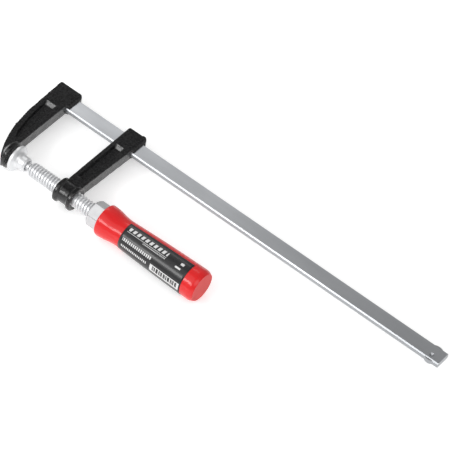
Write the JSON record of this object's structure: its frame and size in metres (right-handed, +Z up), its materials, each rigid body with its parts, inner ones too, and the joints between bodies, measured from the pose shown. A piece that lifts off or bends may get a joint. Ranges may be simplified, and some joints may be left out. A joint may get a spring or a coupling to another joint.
{
  "type": "f clamp",
  "caption": "Small F clamp lying on its side: flat steel rail, black cast jaw and sliding arm, threaded spindle with swivel pad and hexagon collar, red turned wooden handle.",
  "frame": {"origin": "centre of the fixed jaw's round clamping face, on the spindle axis", "axes": "+X along the spindle from the fixed jaw to the handle, parallel to the rail; +Y from the spindle to the rail; +Z up, square to the plane shared by rail and jaws"},
  "size_m": [0.301, 0.0759, 0.0214],
  "materials": {
    "rail_steel": "galvanised, satin",
    "jaw_iron": "black paint over a rough casting, semi-gloss",
    "zinc_steel": "bright zinc plate",
    "red_wood": "red gloss lacquer",
    "label_film": "printed film, semi-gloss"
  },
  "bodies": {
    "frame": {"rail": "rail_steel", "fixed_jaw": "jaw_iron"},
    "arm": {"sliding_arm": "jaw_iron"},
    "carrier": {"ball_liner": "zinc_steel"},
    "screw": {"spindle": "zinc_steel", "hex_collar": "zinc_steel", "handle": "red_wood", "label": "label_film"},
    "pad": {"swivel_pad": "zinc_steel"}
  },
  "joints": [
    {"name": "arm_slide", "type": "slide", "parent": "frame", "child": "arm", "axis": [1, 0, 0], "range_m": [0, 0.222]},
    {"name": "screw_feed", "type": "slide", "parent": "arm", "child": "carrier", "axis": [1, 0, 0], "range_m": [0, 0.0221]},
    {"name": "spindle_turn", "type": "hinge", "parent": "carrier", "child": "screw", "pos_m": [0.0076, 0, 0], "axis": [1, 0, 0], "range_deg": [0, 3960]},
    {"name": "pad_swivel", "type": "hinge", "parent": "carrier", "child": "pad", "pos_m": [0.0076, 0, 0], "axis": [0, 0, 1], "range_deg": [-12, 12]}
  ],
  "couplings": [
    {"joint": "screw_feed", "follows": "spindle_turn", "m_per_rad": 0.00031831}
  ]
}
